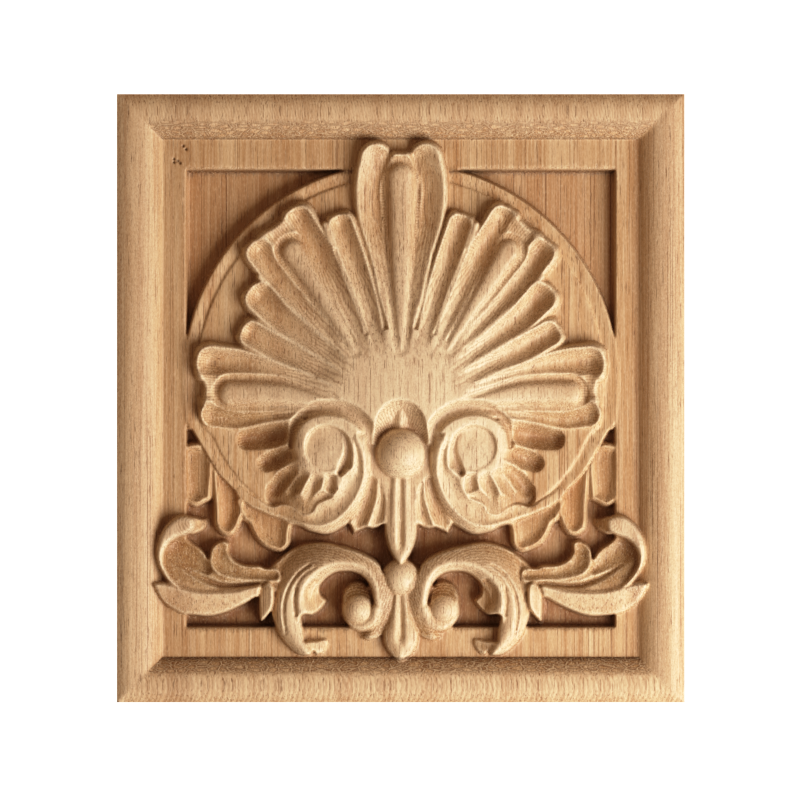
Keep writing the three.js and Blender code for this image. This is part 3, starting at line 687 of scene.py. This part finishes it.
rolled_edge = [[50.6, -30.2], [51.2, -29.3], [53, -28.7], [55, -28.9], [57, -30.2], [58.6, -32],
               [59.7, -34.2], [60.4, -37], [60.4, -39.5], [59.6, -42], [58.2, -44.4], [56.4, -46.2],
               [53.6, -47.6], [54.5, -46.2], [56, -44.6], [57.4, -42.7], [58.3, -40.6],
               [58.2, -38.2], [57, -36], [55, -34.5], [52.8, -33.8], [51.2, -32.8], [50.6, -31.6]]
inner_curl = [[47.8, -29.9, 0.5], [49.6, -31.2, 1.6], [51.5, -31.4, 2.4]]
part, gap, q, share, r, offset = near(inner_curl)
build_up(part, block_t - 3.4 + 4.6 * share, wall(gap, 0.6))
part, gap = outlined(rolled_edge)
build_up(part, block_t + rolled_rise + 1.5 * wall(gap, 1.5), wall(gap, 0.4))
torn_grain_and_painted_shade[part] = np.where(gap < 0, 0, torn_grain_and_painted_shade[part])
rings = np.hypot(net_x[part] - 51.6, net_z[part] + 30.6)
comb(part, rings, (gap < -0.2) * 0.5 * ease((5 - rings) / 2))

# Surface of the whole block. The net is mirrored and softened as sanding does, and each place gets
# the marks of its making and age: cutter marks, torn grain, rubbed edges, dark lines and pinholes.
# Painted highlights lie on edges, and painted shade in creases, pockets and along edges turned from
# the lamp.

sanding = 0.024
fibre_depth = 0.012
fibre_cells = 12
scaled_w = 5.2
low_scaled_w = 4.8
bold_from = 4.4
painted_light_left_w = 3.2
hole_r = 0.3
hole_depth = 0.6


def soften(heights):
    """One pass of sanding: each point moves to the weighted mean of its neighbours"""
    for axis in (0, 1):
        padded = np.pad(heights, [(1, 1) if axis == k else (0, 0) for k in (0, 1)], mode="edge")
        ahead = padded[2:] if axis == 0 else padded[:, 2:]
        behind = padded[:-2] if axis == 0 else padded[:, :-2]
        heights = 0.5 * heights + 0.25 * (ahead + behind)
    return heights


def spread(heights, reach):
    """The mean height within this many cells on each side"""
    for axis in (0, 1):
        sides = [(reach + 1, reach) if axis == k else (0, 0) for k in (0, 1)]
        padded = np.pad(heights, sides, mode="edge")
        total = np.cumsum(padded, axis=axis)
        size = heights.shape[axis]
        last = total[2 * reach + 1:] if axis == 0 else total[:, 2 * reach + 1:]
        first = total[:size] if axis == 0 else total[:, :size]
        heights = (last - first) / (2 * reach + 1)
    return heights


def mirrored(half):
    """The whole width of an array that covers the right half"""
    return np.concatenate([half[:, :0:-1], half], axis=1)


front = soften(mirrored(face))
rows, columns = front.shape
full_x = np.concatenate([-real_x[:, :0:-1], real_x], axis=1)
full_z = mirrored(real_z)
rng = np.random.default_rng(5)
fibre = rng.normal(0, 1, (rows + fibre_cells, columns))
fibre = sum(fibre[k:k + rows] for k in range(fibre_cells)) / fibre_cells ** 0.5
front -= fibre_depth * np.clip(fibre, -2, 2) + sanding

# Slopes across the grain tear. Edges turn paler, partly from sanding wear and partly as painted
# highlight, creases darker as painted shade, and pockets get painted shade, less towards the top,
# away from the low lamp
steep_z, steep_x = np.gradient(front, block_h / (rows - 1), block_w / (columns - 1))
torn = ease((abs(steep_z) - 0.18) / 0.8) * 0.9 + 0.25 * ease((abs(steep_x) - 0.4) / 1.2)

wide = front
for _ in range(3):
    wide = soften(wide)
# Edges paler, partly sanding wear and partly painted highlight; creases darker as painted shade
edge_wear_and_painted_light = np.clip((front - wide) / 0.1, -1, 1) * np.where(front > block_t + 0.25, 1, 0.45)
# Painted shade in the pockets of the relief, fading towards the top
mean = spread(spread(front, 10), 10)
painted_shade_and_growth_band = np.clip((mean - front - 0.25) / 1.8, 0, 1) * ease((75 - full_z) / 100)

# The rails run across the grain: torn in scales along the foot, combed in arcs beyond them
combed, passes, torn_grain_and_painted_shade, orange = (mirrored(half) for half in (combed, passes, torn_grain_and_painted_shade, orange))
foot = moulding_w - (block_h / 2 - abs(full_z))
on_rail = (foot > 0) & (block_h / 2 - abs(full_z) < block_w / 2 - abs(full_x))
top_rail = on_rail & (full_z > 0)
low_rail = on_rail & (full_z < 0)
scales = 0.75 * top_rail * ease((scaled_w - foot) / 1.6) * ease(foot / 0.5)
scales = scales + low_rail * ease((low_scaled_w - foot) / 1.6)
scales = scales + mirrored(scroll_scales)
bold = ease((foot - bold_from) / 0.8)
combed = np.where(low_rail, 0.1 + 0.28 * bold, combed)
combed = np.where(top_rail, 0.25 * ease((foot - 3) / 2), combed)
small_arcs = full_x - 0.35 * foot
large_arcs = (full_x + 0.07 * (foot - 7.5) ** 2) * 0.6
passes = np.where(low_rail, np.where(foot < bold_from, small_arcs, large_arcs), passes)
passes = np.where(top_rail, full_x + 0.2 * foot, passes)
carving = (front > block_t + 0.6) & ~on_rail
torn = np.maximum(torn, 0.3 * carving)
torn_grain_and_painted_shade = np.maximum(torn_grain_and_painted_shade, 0.6 * scales * low_rail)
torn = np.maximum(torn, 0.65 * torn_grain_and_painted_shade)

# Rough dark lines lie along the upper end of the sunk field and the foot of the top rail. Along the
# foot of the bottom rail and the lower end of the field, which are turned from the lamp, the dark
# is painted shade
upper_step = half_h - full_z
low_step = full_z + half_h
beside_field = abs(full_x) < half_w
dark_lines_and_painted_shade = beside_field * 0.9 * np.exp(-((upper_step - 0.4) / 0.45) ** 2)
dark_lines_and_painted_shade = np.maximum(dark_lines_and_painted_shade, top_rail * 0.7 * np.exp(-((foot - 0.3) / 0.25) ** 2))
# Painted shade along the foot of the bottom rail
dark_lines_and_painted_shade = np.maximum(dark_lines_and_painted_shade, low_rail * 0.9 * np.exp(-((foot - 0.2) / 0.6) ** 2))
# Painted shadow on the field just above its lower end
dark_lines_and_painted_shade = np.maximum(dark_lines_and_painted_shade, beside_field * 0.8 * np.exp(-((low_step - 0.3) / 0.7) ** 2))
dark_lines_and_painted_shade = np.where((front < block_t + 0.25) | on_rail, dark_lines_and_painted_shade, 0)

# Painted light: the outer slope of the left edge, turned from the lamp, is painted paler. Painted
# shade: a darker band on the inner slope of the right rail, and a painted shadow along its foot on
# the fillet. A darker growth band runs up the left fillet
painted_light_left_edge = 0.7 * ease((painted_light_left_w - block_w / 2 - full_x) / 2)
edge_wear_and_painted_light = np.maximum(edge_wear_and_painted_light, painted_light_left_edge)
painted_shade_right_slope = 0.35 * np.exp(-((block_w / 2 - full_x - 6.2) / 2) ** 2) * ~on_rail
painted_shade_and_growth_band = np.maximum(painted_shade_and_growth_band, painted_shade_right_slope)
from_foot = block_w / 2 - moulding_w - full_x
inside_frame = abs(full_z) < block_h / 2 - moulding_w
foot_shade = 0.8 * np.exp(-((from_foot - 0.5) / 0.9) ** 2) * inside_frame
painted_shade_and_growth_band = np.maximum(painted_shade_and_growth_band, foot_shade)
growth_band = 0.3 * ease((-full_x - 49) / 4) * ease((58.8 + full_x) / 2)
painted_shade_and_growth_band = np.maximum(painted_shade_and_growth_band, growth_band * (front > block_t - 0.2))

# The right corner leaf's end is torn, and small pinholes show in the upper left corner
torn_end = (full_x > 55.5) & (full_x < 60.8) & (full_z < -45.3) & (full_z > -48)
torn = np.where(torn_end, 1, torn)
dark_lines_and_painted_shade = np.where(torn_end & (full_z > -46.2) & (full_x > 57.3), 0.5, dark_lines_and_painted_shade)
pinholes = [[-53.7, 62.3], [-53, 61.5], [-56, 59.1], [-56, 58.3], [-55, 58.6], [-54.5, 58.1]]
for hole_x, hole_z in pinholes:
    hole = np.exp(-((full_x - hole_x) ** 2 + (full_z - hole_z) ** 2) / hole_r ** 2)
    front -= hole_depth * hole
    dark_lines_and_painted_shade = np.maximum(dark_lines_and_painted_shade, hole)

# Block: the surface is laid on a fine grid, thinned where it is flat, and closed by plain sawn
# sides and a flat back. It stands for the whole carved block.

most_triangles = 185000
near_edge = 0.3
front_from = 1

bm = bmesh.new()
turned = Matrix.Rotation(math.pi / 2, 4, "X")
sized = Matrix.Diagonal((block_w * mm, block_h * mm, 1, 1))
bmesh.ops.create_grid(bm, x_segments=columns - 1, y_segments=rows - 1, size=0.5,
                      matrix=turned @ sized)
sheet = bpy.data.meshes.new("front_sheet")
bm.to_mesh(sheet)
bm.free()


def cells_of(mesh):
    """The places of a mesh's vertices, with the row and column of the net under each"""
    places = np.empty(len(mesh.vertices) * 3, np.float32)
    mesh.vertices.foreach_get("co", places)
    places = places.reshape(-1, 3)
    column = np.rint((places[:, 0] / mm / block_w + 0.5) * (columns - 1)).astype(int)
    row = np.rint((places[:, 2] / mm / block_h + 0.5) * (rows - 1)).astype(int)
    return places, np.clip(row, 0, rows - 1), np.clip(column, 0, columns - 1)


places, row, column = cells_of(sheet)
places[:, 1] = -front[row, column] * mm
sheet.vertices.foreach_set("co", places.ravel())

carrier = bpy.data.objects.new("carrier", sheet)
bpy.context.scene.collection.objects.link(carrier)
thin = carrier.modifiers.new("thin", "DECIMATE")
thin.ratio = most_triangles / (2 * (rows - 1) * (columns - 1))
bpy.context.view_layer.update()
thinned = carrier.evaluated_get(bpy.context.evaluated_depsgraph_get()).to_mesh()

bm = bmesh.new()
bm.from_mesh(thinned)
bpy.data.objects.remove(carrier)
for triangle in bm.faces:
    triangle.smooth = True
edges = [e for e in bm.edges if e.is_boundary]
for e in edges:
    e.smooth = False
    for v in e.verts:
        if abs(v.co.x) > (block_w / 2 - near_edge) * mm:
            v.co.x = math.copysign(block_w / 2 * mm, v.co.x)
        if abs(v.co.z) > (block_h / 2 - near_edge) * mm:
            v.co.z = math.copysign(block_h / 2 * mm, v.co.z)
sides = bmesh.ops.extrude_edge_only(bm, edges=edges)["geom"]
for v in sides:
    if isinstance(v, bmesh.types.BMVert):
        v.co.y = 0
back = [e for e in sides if isinstance(e, bmesh.types.BMEdge) and e.is_boundary]
closing = bmesh.ops.edgeloop_fill(bm, edges=back)["faces"]
bmesh.ops.triangulate(bm, faces=closing)
bmesh.ops.recalc_face_normals(bm, faces=bm.faces)
mesh = bpy.data.meshes.new("oak_block")
bm.to_mesh(mesh)
bm.free()

places, row, column = cells_of(mesh)
on_front = places[:, 1] < -front_from * mm
for name, fields in (("marks", (scales, combed, torn, dark_lines_and_painted_shade)),
                     ("tones", (edge_wear_and_painted_light, painted_shade_and_growth_band, torn_grain_and_painted_shade, orange))):
    shares = np.column_stack([field[row, column] * on_front for field in fields])
    layer = mesh.attributes.new(name, "FLOAT_COLOR", "POINT")
    layer.data.foreach_set("color", shares.astype(np.float32).ravel())
layer = mesh.attributes.new("passes", "FLOAT", "POINT")
layer.data.foreach_set("value", passes[row, column].astype(np.float32))

block = bpy.data.objects.new("oak_block", mesh)
bpy.context.scene.collection.objects.link(block)
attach(block, "root")
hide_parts("carved_block")

# European oak, carved and finely sanded, without varnish: pale tan with darker growth bands, and
# fine brown pores up the board that show as dots where the cutter crossed them. It is dull.


def linear(hex_colour):
    """An sRGB hex value as the linear colour that shaders take"""
    parts = [int(hex_colour[i:i + 2], 16) / 255 for i in (1, 3, 5)]
    return [*(c / 12.92 if c <= 0.04045 else ((c + 0.055) / 1.055) ** 2.4 for c in parts), 1]


def add(tree, kind, settings=(), **sockets):
    """Adds a node with its settings, and values or links for its sockets"""
    node = tree.nodes.new(kind)
    for name, value in dict(settings).items():
        setattr(node, name, value)
    for name, value in sockets.items():
        index = int(name[1:]) if name[0] == "i" and name[1:].isdigit() else name.replace("_", " ")
        if isinstance(value, bpy.types.NodeSocket):
            tree.links.new(value, node.inputs[index])
        else:
            node.inputs[index].default_value = value
    return node


oak = bpy.data.materials.new("sanded_carved_oak")
oak.use_nodes = True
tree = oak.node_tree
shader = tree.nodes["Principled BSDF"]
shader.inputs["Roughness"].default_value = 0.5
shader.inputs["Specular IOR Level"].default_value = 0.45
where = add(tree, "ShaderNodeTexCoord").outputs["Object"]
in_mm = add(tree, "ShaderNodeMapping", Vector=where,
            Scale=(1 / mm, 1 / mm, 1 / mm)).outputs["Vector"]

# What the surface's layers say: how much of each mark and tone lies at a place
pattern = {"depth": add(tree, "ShaderNodeSeparateXYZ", Vector=in_mm).outputs["Y"]}
for name, shares in (("tones", ("edge_wear_and_painted_light", "painted_shade_and_growth_band", "torn_grain_and_painted_shade", "orange")),
                     ("marks", ("scales", "combed", "torn", "dark_lines_and_painted_shade"))):
    layer = add(tree, "ShaderNodeAttribute", {"attribute_name": name}).outputs
    split = add(tree, "ShaderNodeSeparateXYZ", Vector=layer["Vector"]).outputs
    pattern.update(zip(shares, (*split, layer["Alpha"])))

# Fibres of the wood: width, length up the board, both in mm, place, and detail. A pore is 0.3 mm
# wide. The grit of sanding is finer than it is drawn here, so that it shows
fibres = {
    "growth": (3.2, 160, 0, 3.0),
    "pale_fibre": (0.45, 24, 7, 3.0),
    "dark_fibre": (0.4, 18, 11, 3.0),
    "streak": (0.9, 90, 19, 2.0),
    "pore": (0.3, 6, 31, 2.0),
    "long_pore": (0.3, 90, 43, 1.0),
    "sway": (2.5, 2.5, 3, 2.0),
    "speck": (0.33, 0.5, 57, 2.0),
    "light_speck": (0.3, 0.45, 71, 2.0),
    "grit": (0.26, 0.9, 101, 2.0),
    "rough": (0.5, 0.4, 83, 2.0),
    "crumb": (0.4, 0.8, 97, 2.0),
    "rib": (0.35, 3, 91, 2.0),
}
for name, (width, length, place, detail) in fibres.items():
    stretch = add(tree, "ShaderNodeMapping", Vector=in_mm, Location=(place, 0, place),
                  Scale=(1 / width, 1 / width, 1 / length))
    pattern[name] = add(tree, "ShaderNodeTexNoise", Vector=stretch.outputs["Vector"], Scale=1.0,
                        Detail=detail, Roughness=0.6).outputs["Fac"]

# Marks of the cutter: its passes lie 0.75 mm apart, and tear scales of about 2.8 by 0.9 mm
pitch = 0.75
travel = add(tree, "ShaderNodeAttribute", {"attribute_name": "passes"}).outputs["Fac"]
sway = add(tree, "ShaderNodeMath", i0=pattern["sway"], i1=travel).outputs[0]
turns = add(tree, "ShaderNodeMath", {"operation": "MULTIPLY"}, i0=sway, i1=2 * math.pi / pitch)
pattern["wave"] = add(tree, "ShaderNodeMath", {"operation": "SINE"}, i0=turns.outputs[0]).outputs[0]
scale_size = add(tree, "ShaderNodeMapping", Vector=in_mm, Rotation=(0, 0.7, 0),
                 Scale=(1 / 2.8, 1 / 2.4, 1 / 0.9))
torn_scales = add(tree, "ShaderNodeTexVoronoi", {"feature": "DISTANCE_TO_EDGE"}, Scale=1.0,
                  Vector=scale_size.outputs["Vector"])
pattern["scale_edge"] = torn_scales.outputs["Distance"]

# Where each pattern shows: its value where the share is 0, and where it is 1. Rough places keep a
# share of 0.4 to 0.85
ramps = (
    ("growth_band", "growth", 0.3, 0.7),
    ("pale_fibres", "pale_fibre", 0.42, 0.68),
    ("dark_fibres", "dark_fibre", 0.5, 0.72),
    ("streaks", "streak", 0.57, 0.7),
    # Painted light on the high relief, and painted shade in the low parts, by depth
    ("painted_light_high", "depth", -14.3, -19),
    ("painted_shade_low", "depth", -13.3, -10),
    ("pores", "pore", 0.61, 0.7),
    ("long_pores", "long_pore", 0.635, 0.68),
    ("comb_low", "wave", 0.1, -0.9),
    ("comb_high", "wave", 0.3, 1),
    ("scale_slope", "scale_edge", 0.3, 0.06),
    ("scale_rim", "scale_edge", 0.1, 0.02),
    ("specks", "speck", 0.52, 0.62),
    ("light_specks", "light_speck", 0.55, 0.68),
    ("pale_grit", "grit", 0.52, 0.7),
    ("dark_grit", "grit", 0.48, 0.3),
    ("roughness", "rough", 0.3, 0.6, 0.4, 0.85),
    ("crumbs", "crumb", 0.3, 0.62),
    # Paler edges, partly sanding wear and partly painted highlight, and painted shade in creases
    ("wear_and_painted_highlight", "edge_wear_and_painted_light", 0.2, 1),
    ("painted_crease_shade", "edge_wear_and_painted_light", -0.35, -1),
)
for name, source, start, end, *shares in ramps:
    least, most = shares or (0, 1)
    ramp = add(tree, "ShaderNodeMapRange", {"interpolation_type": "SMOOTHSTEP"}, From_Min=start,
               From_Max=end, To_Min=least, To_Max=most, Value=pattern[source])
    pattern[name] = ramp.outputs["Result"]

# Colour: each row turns it towards a tint, by its strength where all of its patterns meet. First
# the wood, with painted light on the high relief and painted shade in the low parts, then greenish
# brown on torn lobes and as painted shade in some hollows, orange in the drops and painted shade in
# pockets, then pores, marks of the cutter, specks, grit, dark lines with painted shade along the
# low edges, and wear with painted highlights on edges and painted shade in creases
tints = (
    ("#d3b893", 1, "growth_band"),
    ("#e8d7ba", 0.36, "pale_fibres"),
    ("#9c7148", 0.3, "dark_fibres"),
    ("#a9794d", 0.35, "streaks"),
    # painted light on the high relief, and painted shade in the low parts
    ("#eedfc4", 0.55, "painted_light_high"),
    ("#a5714a", 0.25, "painted_shade_low"),
    # greenish brown: torn grain, and painted shade in some hollows
    ("#94703c", 0.4, "torn_grain_and_painted_shade"),
    ("#bf7d34", 0.4, "orange"),
    # painted shade in pockets, and the growth band
    ("#7d4a26", 0.5, "painted_shade_and_growth_band"),
    ("#6d4526", 0.6, "pores"),
    ("#74492a", 0.55, "long_pores"),
    ("#85582f", 0.55, "combed", "comb_low"),
    ("#f0dcb6", 0.3, "combed", "comb_high"),
    ("#74492a", 0.75, "scales", "scale_slope"),
    ("#f0ddb8", 0.45, "scales", "scale_rim"),
    ("#7c4c24", 0.5, "torn", "specks"),
    ("#f7ebd2", 0.6, "torn", "light_specks"),
    ("#f0e0c2", 0.2, "pale_grit"),
    ("#97693f", 0.2, "dark_grit"),
    # dark lines, and painted shade along the low edges
    ("#4b2a14", 1, "dark_lines_and_painted_shade", "roughness"),
    # wear with painted highlight on edges, and painted shade in creases
    ("#f8ecd2", 0.4, "wear_and_painted_highlight", "crumbs"),
    ("#7d4d26", 0.5, "painted_crease_shade", "crumbs"),
)
body = linear("#bd9971")
for tint, share, *causes in tints:
    for cause in causes:
        share = add(tree, "ShaderNodeMath", {"operation": "MULTIPLY"}, i0=share,
                    i1=pattern[cause]).outputs[0]
    body = add(tree, "ShaderNodeMix", {"data_type": "RGBA"}, i0=share, i6=body,
               i7=linear(tint)).outputs[2]
tree.links.new(body, shader.inputs["Base Color"])

# Fine relief: how far each pattern stands up, in tenths of a millimetre
height = 0.0
for rise, *causes in ((0.5, "combed", "comb_high"), (0.6, "scales", "scale_rim"), (-0.3, "pores"),
                      (-0.6, "torn", "specks"), (0.5, "rib")):
    for cause in causes:
        rise = add(tree, "ShaderNodeMath", {"operation": "MULTIPLY"}, i0=rise,
                   i1=pattern[cause]).outputs[0]
    height = add(tree, "ShaderNodeMath", i0=height, i1=rise).outputs[0]
relief = add(tree, "ShaderNodeBump", Strength=0.6, Distance=0.1 * mm, Height=height)
tree.links.new(relief.outputs["Normal"], shader.inputs["Normal"])
mesh.materials.append(oak)

# Studio: a pale floor well below the hung block, white all round, and one large soft lamp low on
# the right, as the shadows in the carving show. The camera looks straight at the face from afar.

floor_z = -0.9
floor_w = 3
surround_r = 8
world_strength = 0.3
lamp_w = 0.46
lamp_energy = 4.2


def stage_material(name, colour, glow):
    """A plain material of one colour, with this much glow of its own"""
    material = bpy.data.materials.new(name)
    material.use_nodes = True
    base = material.node_tree.nodes["Principled BSDF"]
    base.inputs["Base Color"].default_value = linear(colour)
    base.inputs["Emission Color"].default_value = linear(colour)
    base.inputs["Emission Strength"].default_value = glow
    return material


bm = bmesh.new()
bmesh.ops.create_grid(bm, x_segments=1, y_segments=1, size=floor_w,
                      matrix=Matrix.Translation((0, 0, floor_z)))
floor_mesh = bpy.data.meshes.new("floor")
bm.to_mesh(floor_mesh)
bm.free()
floor = bpy.data.objects.new("floor", floor_mesh)
floor_mesh.materials.append(stage_material("pale_floor", "#f2f0ec", 0))
bm = bmesh.new()
bmesh.ops.create_icosphere(bm, subdivisions=4, radius=surround_r)
bmesh.ops.reverse_faces(bm, faces=bm.faces)
dome_mesh = bpy.data.meshes.new("white_surround")
bm.to_mesh(dome_mesh)
bm.free()
surround = bpy.data.objects.new("white_surround", dome_mesh)
dome_mesh.materials.append(stage_material("white_surround", "#ffffff", 1))
for name in ("diffuse", "glossy", "transmission", "volume_scatter", "shadow"):
    setattr(surround, "visible_" + name, False)
for item in (floor, surround):
    bpy.context.scene.collection.objects.link(item)

world = bpy.data.worlds.new("studio")
bpy.context.scene.world = world
world.use_nodes = True
backdrop = world.node_tree.nodes["Background"]
backdrop.inputs["Color"].default_value = linear("#ffdabb")
backdrop.inputs["Strength"].default_value = world_strength

lamp_data = bpy.data.lights.new("soft_box", "AREA")
lamp_data.shape = "DISK"
lamp_data.size = lamp_w
lamp_data.energy = lamp_energy
lamp_data.color = linear("#ffffff")[:3]
lamp = bpy.data.objects.new("soft_box", lamp_data)
lamp.location = (0.39, -0.385, -0.26)
lamp.rotation_euler = (-lamp.location).to_track_quat("-Z", "Y").to_euler()
bpy.context.scene.collection.objects.link(lamp)

# In the photograph the block is 567 pixels wide
photo_px = 800
middle_x_px = 400.7
middle_z_px = 398.2
px_per_mm = 567 / 140
camera_distance = 1.6
front_y = -block_t * mm
sensor_w = 36
camera_data = bpy.data.cameras.new("camera")
camera_data.sensor_width = sensor_w
camera_data.lens = sensor_w * camera_distance / (photo_px / px_per_mm * mm)
camera = bpy.data.objects.new("camera", camera_data)
shift_x = (photo_px / 2 - middle_x_px) / px_per_mm * mm
shift_z = (middle_z_px - photo_px / 2) / px_per_mm * mm
camera.location = (shift_x, front_y - camera_distance, shift_z)
camera.rotation_euler = (math.pi / 2, 0, 0)
camera_data.clip_start = 0.05
camera_data.clip_end = 30
bpy.context.scene.collection.objects.link(camera)
bpy.context.scene.camera = camera

# The photograph's contrast: darker shadows, and lights that roll off softly to the white behind
view = bpy.context.scene.view_settings
view.view_transform = "Standard"
view.use_curve_mapping = True
curve = view.curve_mapping.curves[3]
for x, y in ((0.04, 0.018), (0.1, 0.063), (0.2, 0.16), (0.38, 0.38), (0.5, 0.55), (0.62, 0.71),
             (0.8, 0.88)):
    curve.points.new(x, y)
view.curve_mapping.update()

bpy.context.view_layer.update()
